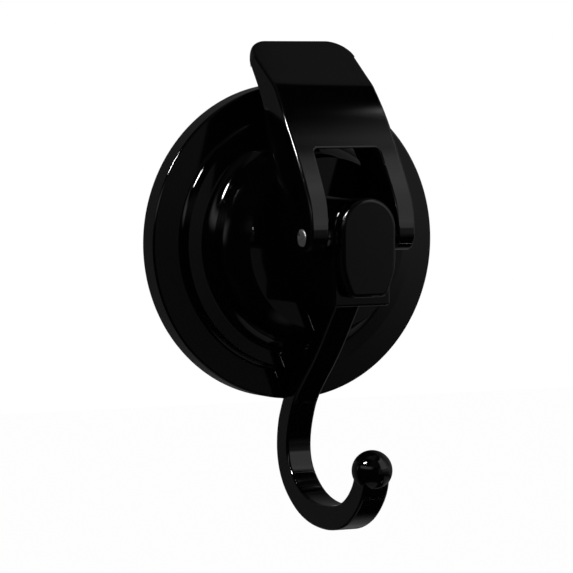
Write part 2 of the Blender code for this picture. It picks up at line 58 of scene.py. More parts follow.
class Link:
    # One node socket. The operators + - * / add Math nodes, and a number may also stand before + and -.
    def __init__(self, tree, socket):
        self.tree = tree
        self.socket = socket

    def math(self, operation, *values):
        return self.tree.node("ShaderNodeMath", {"operation": operation}, dict(enumerate(values)))

    def __add__(self, other):
        return self.math("ADD", self, other)

    def __radd__(self, other):
        return self.math("ADD", other, self)

    def __sub__(self, other):
        return self.math("SUBTRACT", self, other)

    def __rsub__(self, other):
        return self.math("SUBTRACT", other, self)

    def __mul__(self, other):
        return self.math("MULTIPLY", self, other)

    def __truediv__(self, other):
        return self.math("DIVIDE", self, other)

    def top(self, other):
        return self.math("MAXIMUM", self, other)

    def smooth(self, start, end):
        # 0 before start, 1 after end, a soft S between; start may be the larger.
        settings = {"interpolation_type": "SMOOTHSTEP"}
        low, high = min(start, end), max(start, end)
        first, last = (0.0, 1.0) if start < end else (1.0, 0.0)
        inputs = {"Value": self, "From Min": low, "From Max": high, "To Min": first, "To Max": last}
        return self.tree.node("ShaderNodeMapRange", settings, inputs)


class Tree:
    # A node tree being filled. node() is the one way in for every kind of node.
    def __init__(self, owner):
        owner.use_nodes = True
        self.nodes = owner.node_tree.nodes
        self.links = owner.node_tree.links
        self.nodes.clear()

    def node(self, kind, settings=None, inputs=None, out=0):
        made = self.nodes.new(kind)
        for key, value in (settings or {}).items():
            if key == "stops":
                ramp = made.color_ramp
                while len(ramp.elements) < len(value):
                    ramp.elements.new(0.5)
                for element, (place, colour) in zip(ramp.elements, value):
                    element.position = place
                    element.color = colour
            else:
                setattr(made, key, value)
        for key, value in (inputs or {}).items():
            if isinstance(value, Link):
                self.links.new(value.socket, made.inputs[key])
            else:
                made.inputs[key].default_value = value
        return Link(self, made.outputs[out] if made.outputs else None)


# Shape helpers, all in millimetres

def unit(vectors):
    return vectors / np.maximum(np.linalg.norm(vectors, axis=-1, keepdims=True), 1e-12)


def roundCorners(corners, radii, steps=8, support=0.05):
    # Each corner with a radius gives way to the arc that touches both its sides:
    # middle + start * cos + square * sin. A point before and after each arc keeps the sides' shading flat.
    here = np.asarray(corners, float)
    radius = np.asarray(radii, float)[:, None]
    back = unit(np.roll(here, 1, 0) - here)
    ahead = unit(np.roll(here, -1, 0) - here)
    half = np.arccos(np.clip((back * ahead).sum(1), -1, 1))[:, None] / 2
    reach = radius / np.maximum(np.tan(half), 1e-9)
    middle = here + unit(back + ahead) * radius / np.maximum(np.sin(half), 1e-9)
    start = here + back * reach - middle
    end = here + ahead * reach - middle
    square = np.column_stack([-start[:, 1], start[:, 0]])
    turn = np.arctan2((square * end).sum(1), (start * end).sum(1))
    share = np.linspace(0, 1, steps + 1)
    angle = (turn[:, None] * share)[:, :, None]
    arcs = middle[:, None] + start[:, None] * np.cos(angle) + square[:, None] * np.sin(angle)
    before = (here + back * (reach + support))[:, None]
    after = (here + ahead * (reach + support))[:, None]
    arcs = np.concatenate([before, arcs, after], axis=1)
    keep = (radius > 0) | (np.arange(steps + 3) == 1)
    arcs = np.where((radius > 0)[:, :, None], arcs, here[:, None])
    return arcs[keep]


def insetOutline(outline, amounts):
    # The closed outline moved inwards by each amount: point + bisector * amount / lean.
    outline = np.asarray(outline, float)
    forward = unit(np.roll(outline, -1, 0) - outline)
    both = forward + np.roll(forward, 1, 0)
    area = np.sum(outline[:, 0] * np.roll(outline[:, 1], -1) - np.roll(outline[:, 0], -1) * outline[:, 1])
    side = 1.0 if area > 0 else -1.0
    normal = unit(np.column_stack([-both[:, 1], both[:, 0]])) * side
    edge = np.column_stack([-forward[:, 1], forward[:, 0]]) * side
    lean = np.maximum((normal * edge).sum(1), 0.5)[:, None]
    return outline + np.asarray(amounts, float).reshape(-1, 1, 1) * (normal / lean)


def smoothLine(points, perSpan):
    # A centripetal spline through the points, each span worked out by the pyramid of weighted means.
    points = np.asarray(points, float)
    padded = np.vstack([2 * points[0] - points[1], points, 2 * points[-1] - points[-2]])
    p0, p1, p2, p3 = (padded[k:len(padded) - 3 + k][:, None] for k in range(4))
    t1 = np.linalg.norm(p1 - p0, axis=2, keepdims=True) ** 0.5
    t2 = t1 + np.linalg.norm(p2 - p1, axis=2, keepdims=True) ** 0.5
    t3 = t2 + np.linalg.norm(p3 - p2, axis=2, keepdims=True) ** 0.5
    t = t1 + (t2 - t1) * (np.arange(perSpan) / perSpan)[None, :, None]
    a1 = (t1 - t) / t1 * p0 + t / t1 * p1
    a2 = (t2 - t) / (t2 - t1) * p1 + (t - t1) / (t2 - t1) * p2
    a3 = (t3 - t) / (t3 - t2) * p2 + (t - t2) / (t3 - t2) * p3
    b1 = (t2 - t) / t2 * a1 + t / t2 * a2
    b2 = (t3 - t) / (t3 - t1) * a2 + (t - t1) / (t3 - t1) * a3
    line = (t2 - t) / (t2 - t1) * b1 + (t - t1) / (t2 - t1) * b2
    return np.vstack([line.reshape(-1, 2), points[-1:]])


def evenly(line, count):
    # The same line with this many points at equal steps of its length.
    gone = np.concatenate([[0], np.cumsum(np.linalg.norm(np.diff(line, axis=0), axis=1))])
    at = np.linspace(0, gone[-1], count)
    return np.column_stack([np.interp(at, gone, line[:, 0]), np.interp(at, gone, line[:, 1])])


def circle(centre, radius, steps=40):
    # Turned a little, so that no point lies on a plane of symmetry, where a cut could miss it.
    turns = np.linspace(0, 2 * np.pi, steps, endpoint=False) + 0.07
    return np.column_stack([centre[0] + radius * np.cos(turns), centre[1] + radius * np.sin(turns)])


def box(x0, x1, z0, z1, radius, steps=6):
    return roundCorners([(x0, z0), (x1, z0), (x1, z1), (x0, z1)], [radius] * 4, steps)


def finishMesh(piece):
    # Doubles go, faces are turned outwards, and only edges sharper than the angle stay hard.
    mesh = piece.data
    work = bmesh.new()
    work.from_mesh(mesh)
    bmesh.ops.remove_doubles(work, verts=work.verts, dist=weld)
    bmesh.ops.recalc_face_normals(work, faces=work.faces)
    if work.calc_volume(signed=True) < 0:
        bmesh.ops.reverse_faces(work, faces=work.faces)
    work.to_mesh(mesh)
    work.free()
    mesh.polygons.foreach_set("use_smooth", np.ones(len(mesh.polygons), bool))
    mesh.set_sharp_from_angle(angle=sharpAngle)
    mesh.update()
    return piece


def surface(name, rings, wrapRows=False, ends=True):
    # A grid of points (row, column, x height z) skinned with quads. Each ring is closed, the ends are filled.
    rows, columns = rings.shape[:2]
    points = rings.reshape(-1, 3)
    place = np.column_stack([points[:, 0], -points[:, 1] - wallGap, points[:, 2]]) * mm
    last = rows if wrapRows else rows - 1
    row, column = np.meshgrid(np.arange(last), np.arange(columns), indexing="ij")
    nextRow, nextColumn = (row + 1) % rows, (column + 1) % columns
    corners = [row * columns + column, row * columns + nextColumn,
               nextRow * columns + nextColumn, nextRow * columns + column]
    faces = np.stack(corners, axis=-1).reshape(-1, 4).tolist()
    if ends and not wrapRows:
        faces += [list(range(columns))[::-1], list(range((rows - 1) * columns, rows * columns))]
    mesh = bpy.data.meshes.new(name)
    mesh.from_pydata(place.tolist(), [], faces)
    piece = bpy.data.objects.new(name, mesh)
    bpy.context.scene.collection.objects.link(piece)
    return finishMesh(piece)


def turned(name, profile, steps, centre=(0.0, 0.0), along="height"):
    # A profile (radius, height) carried round a circle: centre + radius * (cos, sin).
    profile = np.asarray(profile, float)
    turns = np.linspace(0, 2 * np.pi, steps, endpoint=False)[:, None]
    a = centre[0] + profile[None, :, 0] * np.cos(turns)
    b = centre[1] + profile[None, :, 0] * np.sin(turns)
    height = np.broadcast_to(profile[None, :, 1], a.shape)
    order = [a, height, b] if along == "height" else [height, a, b]
    return surface(name, np.stack(order, axis=-1), wrapRows=True)


def prism(name, outline, low, high, lowEdge=0.0, highEdge=0.0, along="height", steps=8):
    # The outline carried from low to high, drawn in along a quarter circle at both ends.
    # A ring just inside each rounded end, 0.05 further in, keeps the flat end's shading flat.
    turns = np.linspace(0, np.pi / 2, steps + 1)
    share, deep = 1 - np.cos(turns), np.sin(turns)
    lowPlaces = low + lowEdge * (1 - deep[::-1]) if lowEdge else np.array([low])
    lowInsets = lowEdge * share[::-1] if lowEdge else np.array([0.0])
    highPlaces = high - highEdge * (1 - deep) if highEdge else np.array([high])
    highInsets = highEdge * share if highEdge else np.array([0.0])
    place = np.concatenate([lowPlaces[:1], lowPlaces, highPlaces, highPlaces[-1:]])
    insets = np.concatenate([lowInsets[:1] + 0.05, lowInsets, highInsets, highInsets[-1:] + 0.05])
    if not lowEdge:
        place, insets = place[1:], insets[1:]
    if not highEdge:
        place, insets = place[:-1], insets[:-1]
    flat = insetOutline(outline, insets)
    depth = np.broadcast_to(place[:, None], flat.shape[:2])
    if along == "height":
        rings = np.stack([flat[:, :, 0], depth, flat[:, :, 1]], axis=-1)
    else:
        rings = np.stack([depth, flat[:, :, 0], flat[:, :, 1]], axis=-1)
    return surface(name, rings)


def cutAway(target, others):
    # Exact Booleans one after another, each worked into the mesh.
    for other in others:
        step = target.modifiers.new("cut", "BOOLEAN")
        step.operation = "DIFFERENCE"
        step.solver = "EXACT"
        step.object = other
        graph = bpy.context.evaluated_depsgraph_get()
        whole = bpy.data.meshes.new_from_object(target.evaluated_get(graph))
        target.modifiers.clear()
        spare = target.data
        target.data = whole
        bpy.data.meshes.remove(spare)
        bpy.data.objects.remove(other)
    whole = target.data
    work = bmesh.new()
    work.from_mesh(whole)
    bmesh.ops.remove_doubles(work, verts=work.verts, dist=weld)
    work.to_mesh(whole)
    work.free()
    whole.name = target.name
    whole.polygons.foreach_set("use_smooth", np.ones(len(whole.polygons), bool))
    whole.set_sharp_from_angle(angle=sharpAngle)
    return target


def together(name, pieces):
    # Several closed shells as one object.
    work = bmesh.new()
    for piece in pieces:
        work.from_mesh(piece.data)
    mesh = bpy.data.meshes.new(name)
    work.to_mesh(mesh)
    work.free()
    for piece in pieces:
        bpy.data.objects.remove(piece)
    joined = bpy.data.objects.new(name, mesh)
    bpy.context.scene.collection.objects.link(joined)
    mesh.polygons.foreach_set("use_smooth", np.ones(len(mesh.polygons), bool))
    mesh.set_sharp_from_angle(angle=sharpAngle)
    return joined


# Housing: a turned shell with collar and ribs inside

housingValues = {
    "base": 35.0, "rim": 2.2, "flange": 5.1, "flangeRise": 0.2, "flangeEdge": 0.5, "innerFillet": 0.6,
    "step": 28.35, "stepFillet": 0.95, "ring": 27.9, "ringHeight": 8.1, "ringRise": 0.3, "ringEdge": 0.0,
    "domeFoot": 22.9, "domeFillet": 3.0, "bulge": 0.35, "bulgeSpan": (0.24, 0.9), "domeTop": 19.0,
    "domeEdge": 0.0, "top": 20.0, "wall": 2.3, "crownIn": 0.7, "collar": 11.6, "collarWall": 1.4,
    "collarReach": 5.2, "ribs": 6, "ribWall": 1.3, "ribIn": 0.65, "ribUp": 0.25,
    "slot": (-3.5, 3.5, -1.9, 6.1, 0.875), "screws": (8.4, -7.5), "screwHole": 1.25, "turns": 256,
}


def domeWall(v):
    # Foot, wall and crown (radius, height, corner). The wall is a shallow arc between two corners:
    # chord + normal * bulge * sin(pi * share).
    foot = np.array([v["domeFoot"], v["ringHeight"] + v["ringRise"]])
    crown = np.array([v["domeTop"], v["top"]])
    share = np.linspace(*v["bulgeSpan"], 17)[:, None]
    outward = unit(np.array([crown[1] - foot[1], foot[0] - crown[0]]))
    line = foot + (crown - foot) * share + outward * v["bulge"] * np.sin(np.pi * share)
    return [(*foot, v["domeFillet"]), *((r, h, 0) for r, h in line), (*crown, v["domeEdge"])]


def makeShell(v, roof, low):
    # Outside and inside are one closed profile (radius, height, corner) carried round.
    wall, rim, ring = v["wall"], v["rim"], v["ring"] - v["wall"]
    collar, collarOut = v["collar"], v["collar"] + v["collarWall"]
    outside = [(v["base"], 0, 0), (v["base"], v["flange"], v["flangeEdge"]),
               (v["step"], v["flange"] + v["flangeRise"], v["stepFillet"]),
               (v["ring"], v["ringHeight"], v["ringEdge"]), *domeWall(v), (0, v["top"], 0)]
    inside = [(0, roof, 0), (collar, roof, 0), (collar, low, 0), (collarOut, low, 0), (collarOut, roof, 0),
              (v["domeTop"] - v["crownIn"] * wall, roof, 0),
              (v["domeFoot"] - wall, v["ringHeight"], v["domeFillet"]),
              (ring, v["ringHeight"] - wall, 0), (ring, v["flange"] - rim, 0),
              (v["base"] - rim, v["flange"] - rim, v["innerFillet"]), (v["base"] - rim, 0, 0)]
    profile = np.array(outside + inside, float)
    return turned("housing_shell", roundCorners(profile[:, :2], profile[:, 2], 8), v["turns"])


def makeHousing(v):
    # The shell, opened by the slot and the screw holes, and the ribs from its collar to its dome.
    roof, high = v["top"] - v["wall"], v["top"] - v["wall"] / 2
    low = roof - v["collarReach"]
    shell = makeShell(v, roof, low)
    start, end = roof - cutPast, v["top"] + cutPast
    cutters = [prism("cut", box(*v["slot"]), start, end)]
    cutters += [prism("cut", circle((0, z), v["screwHole"]), start, end) for z in v["screws"]]
    cutAway(shell, cutters)
    collarMiddle = v["collar"] + v["collarWall"] / 2
    foot = (v["domeFoot"] - v["ribIn"] * v["wall"],
            v["ringHeight"] + v["ribUp"] * v["wall"] + v["collarWall"])
    side = np.array([(collarMiddle, high), (collarMiddle, low + v["collarWall"] / 2), foot,
                     (v["domeTop"] - v["wall"] / 2, high)])
    pieces = [shell]
    for turn in 2 * np.pi * np.arange(v["ribs"]) / v["ribs"]:
        along = np.array([np.cos(turn), np.sin(turn)])
        across = np.array([-along[1], along[0]]) * v["ribWall"] / 2
        rings = np.stack([np.column_stack([side[:, 0] * along[0] + across[0] * s, side[:, 1],
                                           side[:, 0] * along[1] + across[1] * s]) for s in (-1, 1)])
        pieces.append(surface("rib", rings))
    return together("housing_shell", pieces)


housing = makeHousing(housingValues)
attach(housing, "base")
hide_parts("housing")
print("stage 2: housing", len(housing.data.polygons))


# Suction disc: soft lip, web and boss with the pocket for the stem's head

discValues = {
    "radius": 33.5, "lip": 6.5, "thick": 1.5, "edge": 0.4, "web": 2.6, "rise": 2.2, "boss": 10.6,
    "bossHeight": 10.2, "head": 8.3, "mouth": 6.92, "pocket": (4.0, 6.8), "turns": 200,
}


def makeDisc(v):
    # A closed profile carried round, its lip flat on the wall and its middle drawn up.
    wall, lipIn, web, rise = -wallGap, v["radius"] - v["lip"], v["web"], v["rise"] - wallGap
    floor, roof = v["pocket"]
    outside = [(v["radius"], wall, v["edge"]), (v["radius"], wall + v["thick"], v["edge"]),
               (lipIn, wall + v["thick"], v["lip"]), (v["boss"] + web, rise + web, web / 2),
               (v["boss"], rise + 1.5 * web, 0), (v["boss"], wall + v["bossHeight"], v["edge"])]
    pocket = [(v["mouth"], wall + v["bossHeight"], 0), (v["mouth"], roof, 0), (v["head"], roof, 0),
              (v["head"], floor, 0), (0, floor, 0)]
    under = [(0, rise, 0), (0.75 * v["boss"], rise, v["lip"]), (lipIn, wall, v["lip"])]
    profile = np.array(outside + pocket + under, float)
    return turned("suction_cup", roundCorners(profile[:, :2], profile[:, 2], 8), v["turns"])


disc = makeDisc(discValues)
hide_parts("suction_disc")
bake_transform(disc)
print("stage 3: suction disc", len(disc.data.polygons))


# Hook: block, flat bar along the J, ball

hookValues = {
    "half": 6.9, "top": 10.6, "low": -12.7, "footCorner": 0.6, "back": 20.3, "backEdge": 0.3, "front": 35.7,
    "edge": 0.5, "slot": (-3.5, 3.5, -1.9, 6.1, 0.875), "track": (27.6, 34.0, -0.1, 4.3, 1.9),
    "screws": (8.4, -7.5), "screwHole": 1.25, "screwDeep": 9.3, "pegHole": 1.5, "pegDeep": 2.9,
    "wide": 6.2, "thick": 5.25, "barEdge": 0.6, "barRings": 300, "ball": 4.4, "ballRings": (65, 128),
    "taper": ([-40.0, -36.5, -34.5, -30.0, -19.0, -8.0], [5.25, 4.9, 4.6, 4.6, 3.5, 3.4]),
    "line": [(29.8, -8.2), (27.0, -11.7), (23.2, -16.55), (19.5, -21.2), (16.2, -24.9), (12.85, -28.25),
             (9.3, -32.05), (7.4, -34.8), (6.15, -37.6), (5.15, -40.6), (4.6, -43.6), (4.6, -46.6),
             (5.3, -49.5), (6.75, -52.1), (9.0, -54.5), (12.6, -57.0), (16.9, -58.65), (21.8, -59.4),
             (26.6, -59.35), (31.0, -58.4), (34.9, -56.4), (37.9, -53.5), (39.4, -50.9), (40.0, -47.7)],
}


def makeBlock(v):
    # An arched outline raised off the wall, with the stem's slot, the pin's track, screw and peg holes.
    turns = np.linspace(0, np.pi, 73)
    arch = np.column_stack([v["half"] * np.cos(turns), v["top"] - v["half"] + v["half"] * np.sin(turns)])
    corners = np.vstack([[(-v["half"], v["low"]), (v["half"], v["low"])], arch])
    outline = roundCorners(corners, [v["footCorner"]] * 2 + [0.0] * len(arch), 6)
    back, front, past = v["back"], v["front"], v["half"] + cutPast
    block = prism("block", outline, back, front, v["backEdge"], v["edge"])
    cutters = [prism("cut", box(*v["slot"]), back - cutPast, front + cutPast),
               prism("cut", box(*v["track"]), -past, past, along="x")]
    for z in v["screws"]:
        screw, peg = circle((0, z), v["screwHole"]), circle((0, z), v["pegHole"])
        cutters.append(prism("cut", screw, back - cutPast, back + v["screwDeep"]))
        cutters.append(prism("cut", peg, front - v["pegDeep"], front + cutPast))
    return cutAway(block, cutters)


def makeHook(v):
    # Bar: a rounded rectangle carried along the J, its outer face kept and its thickness tapered.
    # Ball: latitude and longitude round the bar's end.
    line = evenly(smoothLine(v["line"], 24), v["barRings"])
    along = unit(np.gradient(line, axis=0))
    out = np.column_stack([-along[:, 1], along[:, 0]])
    thick = np.where(along[:, 1] < 0, np.interp(line[:, 1], *v["taper"]), v["thick"])
    section = box(-v["wide"] / 2, v["wide"] / 2, -v["thick"] / 2, v["thick"] / 2, v["barEdge"], 8)
    deep = v["thick"] / 2 - (v["thick"] / 2 - section[None, :, 1]) * (thick / v["thick"])[:, None]
    rings = np.stack([np.broadcast_to(section[None, :, 0], deep.shape),
                      line[:, :1] + out[:, :1] * deep, line[:, 1:] + out[:, 1:] * deep], axis=-1)
    bar = surface("bar", rings)
    rise = np.linspace(-np.pi / 2, np.pi / 2, v["ballRings"][0])
    profile = np.column_stack([v["ball"] * np.cos(rise), line[-1, 0] + v["ball"] * np.sin(rise)])
    ball = turned("ball", profile, v["ballRings"][1], centre=(0.0, line[-1, 1]))
    return together("hook_body", [makeBlock(v), bar, ball])


hook = makeHook(hookValues)
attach(hook, "base")
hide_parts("hook")
print("stage 4: hook", len(hook.data.polygons))


# Oval cap

capValues = {
    "half": 6.65, "top": 10.7, "back": 35.75, "front": 38.9, "edge": 0.9,
    "peg": 1.2, "pegDeep": 2.6, "pegRoot": 1.0, "pegs": (8.4, -7.5),
    "side": [(6.65, -2.6), (6.42, -4.6), (5.85, -6.6), (5.1, -8.6), (4.55, -9.75), (4.1, -10.35),
             (3.5, -10.65)],
}


def makeCap(v):
    # An outline of half circle, straight sides and a narrowing foot, raised and rounded over at the front.
    turns = np.linspace(0, np.pi / 2, 40)
    arch = np.column_stack([v["half"] * np.cos(turns), v["top"] - v["half"] + v["half"] * np.sin(turns)])
    right = np.vstack([smoothLine(v["side"], 8)[::-1], arch])
    left = (right[:-1] * (-1, 1))[::-1]
    pieces = [prism("cap", np.vstack([right, left]), v["back"], v["front"], 0.0, v["edge"], steps=12)]
    for z in v["pegs"]:
        end, root = v["back"] - v["pegDeep"], v["back"] + v["pegRoot"]
        pieces.append(prism("peg", circle((0, z), v["peg"]), end, root))
    return together("oval_cap", pieces)


cap = makeCap(capValues)
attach(cap, "base")
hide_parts("front_cap")
print("stage 5: cap", len(cap.data.polygons))


# Lever

leverValues = {
    "half": 12.75, "widthZ": [0.0, 22.0, 26.0, 30.0, 34.5, 39.0, 44.0],
    "widthShare": [1.0, 1.0, 1.004, 0.994, 0.975, 0.98, 0.985],
    "edge": 0.5, "tipEdge": 1.05, "tipSpan": 0.4, "corner": 5.2, "curve": 1.15,
    "window": 8.0, "windowTop": 21.1, "windowFlare": 0.028, "windowCorner": 1.0, "rim": 0.45,
    "skin": 2.2, "cheek": 1.9, "hollowEnd": 2.3,
    "pivot": (31.8, 2.1), "pinHole": 2.05, "backHeight": 20.3, "frontHeight": 36.4, "low": -0.9, "slope": 0.1,
    "backEdge": 2.0, "frontEdge": 3.6, "frontCount": 110, "backCount": 60, "cornerSteps": 10,
    "front": [(4.62, 1.6), (4.35, 3.9), (3.95, 6.1), (3.3, 8.1), (2.15, 10.4), (0.65, 12.9), (-0.85, 15.3),
              (-2.45, 17.8), (-4.05, 20.2), (-5.65, 22.6), (-7.3, 25.0), (-9.05, 27.4), (-10.98, 29.9),
              (-12.62, 31.88), (-13.3, 32.6), (-17.1, 35.35), (-20.0, 37.44), (-22.9, 39.53), (-27.1, 42.56)],
    "back": [(-27.65, 40.75), (-25.2, 38.2), (-22.6, 34.5), (-20.3, 31.3), (-18.3, 28.3), (-16.9, 25.2),
             (-15.9, 21.9), (-14.6, 18.9), (-13.2, 17.0), (-11.5, 15.6)],
}


def leverOutline(v, retreat):
    # The side outline (height, z): cam foot, front line, square tip drawn back by retreat, back line.
    front = np.array(v["front"]) + v["pivot"]
    back = smoothLine(np.array(v["back"]) + v["pivot"], 8)
    along = unit(front[-1] - front[-2])
    across = np.array([-along[1], along[0]])
    cut = front[-1] - along * retreat
    front = np.vstack([smoothLine(front[:-1], 8), front[-1:]])
    front = np.vstack([front[(front - cut) @ along < -v["tipSpan"]], cut])
    behind = (back - cut) @ along + v["tipSpan"]
    first = int(np.argmax(behind < 0))
    meet = back[0]
    if first > 0:
        share = behind[first - 1] / (behind[first - 1] - behind[first])
        meet = back[first - 1] + (back[first] - back[first - 1]) * share
    deep = (meet - cut) @ across
    line = np.vstack([cut + across * deep, back[first:]])
    tip = v["tipEdge"] if abs(deep) > 2 * v["tipEdge"] else abs(deep) * 0.49     # the two arcs never meet
    corners = np.vstack([[(v["backHeight"], v["low"]), (v["frontHeight"], v["low"] - v["slope"])],
                         evenly(front, v["frontCount"]), evenly(line, v["backCount"])])
    radii = np.zeros(len(corners))
    radii[:2] = v["backEdge"], v["frontEdge"]
    radii[v["frontCount"] + 1:v["frontCount"] + 3] = tip
    return roundCorners(corners, radii, v["cornerSteps"])


def leverBody(v):
    # Outlines lofted across the width: round the paddle's corner arc, then round the cheek's edge.
    # A last outline 0.02 further in closes each cheek.
    turns = np.linspace(0, np.pi / 2, 9)
    start, far = v["half"] - v["corner"], v["half"] - v["edge"]
    flat = start + v["corner"] * np.sin(np.linspace(0, np.arcsin((far - start) / v["corner"]), 25)[:-1])
    rightPlace = np.concatenate([flat, far + v["edge"] * np.sin(turns), [v["half"]]])
    rightInset = np.concatenate([flat * 0, v["edge"] * (1 - np.cos(turns)), [v["edge"] + 0.02]])
    place = np.concatenate([-rightPlace[::-1], rightPlace])
    inset = np.concatenate([rightInset[::-1], rightInset])
    widthZ, widthShare = smoothLine(np.column_stack([v["widthZ"], v["widthShare"]]), 8).T
    rings = []
    for x, inward in zip(place, inset):
        beyond = min(max(0.0, abs(x) - start) / v["corner"], 0.995)
        retreat = v["curve"] * v["corner"] * (1 - math.sqrt(1 - beyond ** 2)) - inward
        side = insetOutline(leverOutline(v, max(0.0, retreat)), [inward])[0]
        rings.append(np.column_stack([x * np.interp(side[:, 1], widthZ, widthShare), side]))
    return surface("lever_arm", np.array(rings))


def windowCutter(v):
    # The window's outline, flaring along a quarter circle where it meets the lever's front line.
    # The flare ends 0.03 outside that line. Of the lever's outline, the line is the part
    # from the last point of its first corner to the point before the tip.
    perCorner = v["cornerSteps"] + 3
    frontLine = leverOutline(v, 0.0)[perCorner - 1:2 * perCorner + v["frontCount"] - 1]
    frontLine = frontLine[np.argsort(frontLine[:, 1])]
    low = v["low"] - v["windowTop"]
    half, foot = v["window"], v["window"] + v["windowFlare"] * (v["windowTop"] - low)
    corners = [(-foot, low), (foot, low), (half, v["windowTop"]), (-half, v["windowTop"])]
    outline = roundCorners(corners, [v["windowCorner"]] * 4, 8)
    sides = [np.linspace(a, b, 40, endpoint=False) for a, b in zip(outline, np.roll(outline, -1, 0))
             if np.linalg.norm(b - a) > v["window"] / 2]
    outline = np.vstack(sides + [outline])
    outline = outline[np.argsort(np.arctan2(outline[:, 1], outline[:, 0]))]
    turns = np.linspace(0, np.pi / 2, 10)
    outset, sunk = v["rim"] * (1 - np.cos(turns)), v["rim"] * (1 - np.sin(turns)) - 0.03
    grown = insetOutline(outline, -outset)
    height = np.interp(grown[:, :, 1], frontLine[:, 1], frontLine[:, 0]) - sunk[:, None]
    lowest = np.full_like(height[:1], v["pivot"][0] - v["windowTop"])
    highest = np.full_like(height[:1], v["frontHeight"] + cutPast)
    flat = np.concatenate([grown[:1], grown, grown[-1:]])
    heights = np.concatenate([lowest, height, highest])
    return surface("cut", np.stack([flat[:, :, 0], heights, flat[:, :, 1]], axis=-1))


def hollowCutter(v):
    # The space behind the lever's skin: the front line moved in by the skin, open towards the housing.
    front = smoothLine(np.array(v["front"]) + v["pivot"], 10)
    forward = unit(np.gradient(front, axis=0))
    inside = front - np.column_stack([forward[:, 1], -forward[:, 0]]) * v["skin"]
    floor, roof = v["windowTop"] + v["skin"], front[-1, 1] - v["hollowEnd"] * v["skin"]
    inside = inside[(inside[:, 1] > floor) & (inside[:, 1] < roof)]
    behind = front[-1, 0] - v["skin"]
    outline = np.vstack([(inside[0, 0], floor), inside, (behind, roof + v["skin"] / 2), (behind, floor)])
    half = v["half"] - v["cheek"]
    return prism("cut", outline, -half, half, along="x")


def makeLever(v):
    past = v["half"] + cutPast
    pinHole = prism("cut", circle(v["pivot"], v["pinHole"], 64), -past, past, along="x")
    return cutAway(leverBody(v), [windowCutter(v), hollowCutter(v), pinHole])


lever = makeLever(leverValues)
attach(lever, "lever")
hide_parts("lever")
print("stage 6: lever", len(lever.data.polygons))


# Pivot pin

pinValues = {"half": 12.9, "radius": 1.9, "edge": 0.35, "centre": (31.8, 2.1), "turns": 96}


def makePin(v):
    # A plain cylinder carried round, its flat ends rounded over at the rim.
    corners = [(0.0, -v["half"]), (v["radius"], -v["half"]), (v["radius"], v["half"]), (0.0, v["half"])]
    profile = roundCorners(corners, [0.0, v["edge"], v["edge"], 0.0], 8)
    return turned("pivot_rod", profile, v["turns"], centre=v["centre"], along="x")


pin = makePin(pinValues)
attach(pin, "stem")
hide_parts("pivot_pin")
print("stage 7: pin", len(pin.data.polygons))


# Finishes

finishValues = {
    "gloss": {"ior": 1.5, "colour": (0.0007, 0.0007, 0.0008), "rough": 0.075, "flow": 0.03, "flowScale": 60.0,
              "grain": 0.02, "grainScale": 900.0, "wave": 0.02, "waveScale": 55.0, "deep": 0.0002},
    "satin": {"ior": 1.5, "colour": (0.0008, 0.0008, 0.0009), "rough": 0.16, "flow": 0.05, "flowScale": 70.0,
              "grain": 0.03, "grainScale": 1200.0, "wave": 0.02, "waveScale": 60.0, "deep": 0.0002},
    "rubber": {"ior": 1.45, "coat": 0.15, "coatRough": 0.25, "cloudScale": 120.0, "dark": (0.49, 0.51, 0.52),
               "light": (0.61, 0.63, 0.64), "rough": 0.38, "spread": 0.16, "grainScale": 700.0, "bump": 0.06,
               "deep": 0.0002},
    "matte": {"ior": 1.5, "grainScale": 2200.0, "dark": (0.038, 0.038, 0.041), "light": (0.052, 0.052, 0.055),
              "rough": 0.36, "spread": 0.16, "bump": 0.2, "deep": 0.00005},
    "pin": {"light": (0.5, 0.5, 0.51), "rough": 0.22, "metal": 0.93},
    "screw": {"light": (0.55, 0.55, 0.56), "rough": 0.28, "metal": 1.0},
    "drawn": {"scale": (60.0, 600.0, 600.0), "dark": 0.95, "spread": 0.12, "bump": 0.02, "deep": 0.00005},
}


def principled(name, fixed):
    # A material with its shader; values that are the same all over sit on the shader's own sockets.
    material = bpy.data.materials.new(name)
    tree = Tree(material)
    shader = tree.node("ShaderNodeBsdfPrincipled", {}, fixed)
    tree.node("ShaderNodeOutputMaterial", {}, {"Surface": shader})
    return material, tree, shader.socket.node


def noise(tree, scale, detail=3.0, roughness=0.5):
    # Cloudy values about 0.5, scale clouds to the metre.
    place = tree.node("ShaderNodeTexCoord", out="Object")
    return tree.node("ShaderNodeTexNoise", {}, {"Vector": place, "Scale": scale, "Detail": detail,
                                                "Roughness": roughness}, out=0)


def feed(tree, shader, inputs, height, strength, deep):
    # Links what varies to the shader, and the height through a bump to its Normal.
    bump = tree.node("ShaderNodeBump", {}, {"Height": height, "Strength": strength, "Distance": deep})
    for key, value in (inputs | {"Normal": bump}).items():
        tree.links.new(value.socket, shader.inputs[key])


def tones(tree, amount, dark, light):
    # Noise seldom leaves 0.3 to 0.7, so the two colours sit there.
    stops = [(0.3, (*dark, 1)), (0.7, (*light, 1))]
    return tree.node("ShaderNodeValToRGB", {"stops": stops}, {"Fac": amount})


def glossPlastic(name, v):
    # Moulded black plastic: faint flow marks in the gloss and a very shallow waviness.
    material, tree, shader = principled(name, {"IOR": v["ior"], "Base Color": (*v["colour"], 1.0)})
    flow = noise(tree, v["flowScale"])
    grain = noise(tree, v["grainScale"], detail=2.0)
    rough = v["rough"] + (flow - 0.5) * v["flow"] + (grain - 0.5) * v["grain"]
    feed(tree, shader, {"Roughness": rough}, noise(tree, v["waveScale"], detail=1.0), v["wave"], v["deep"])
    return material


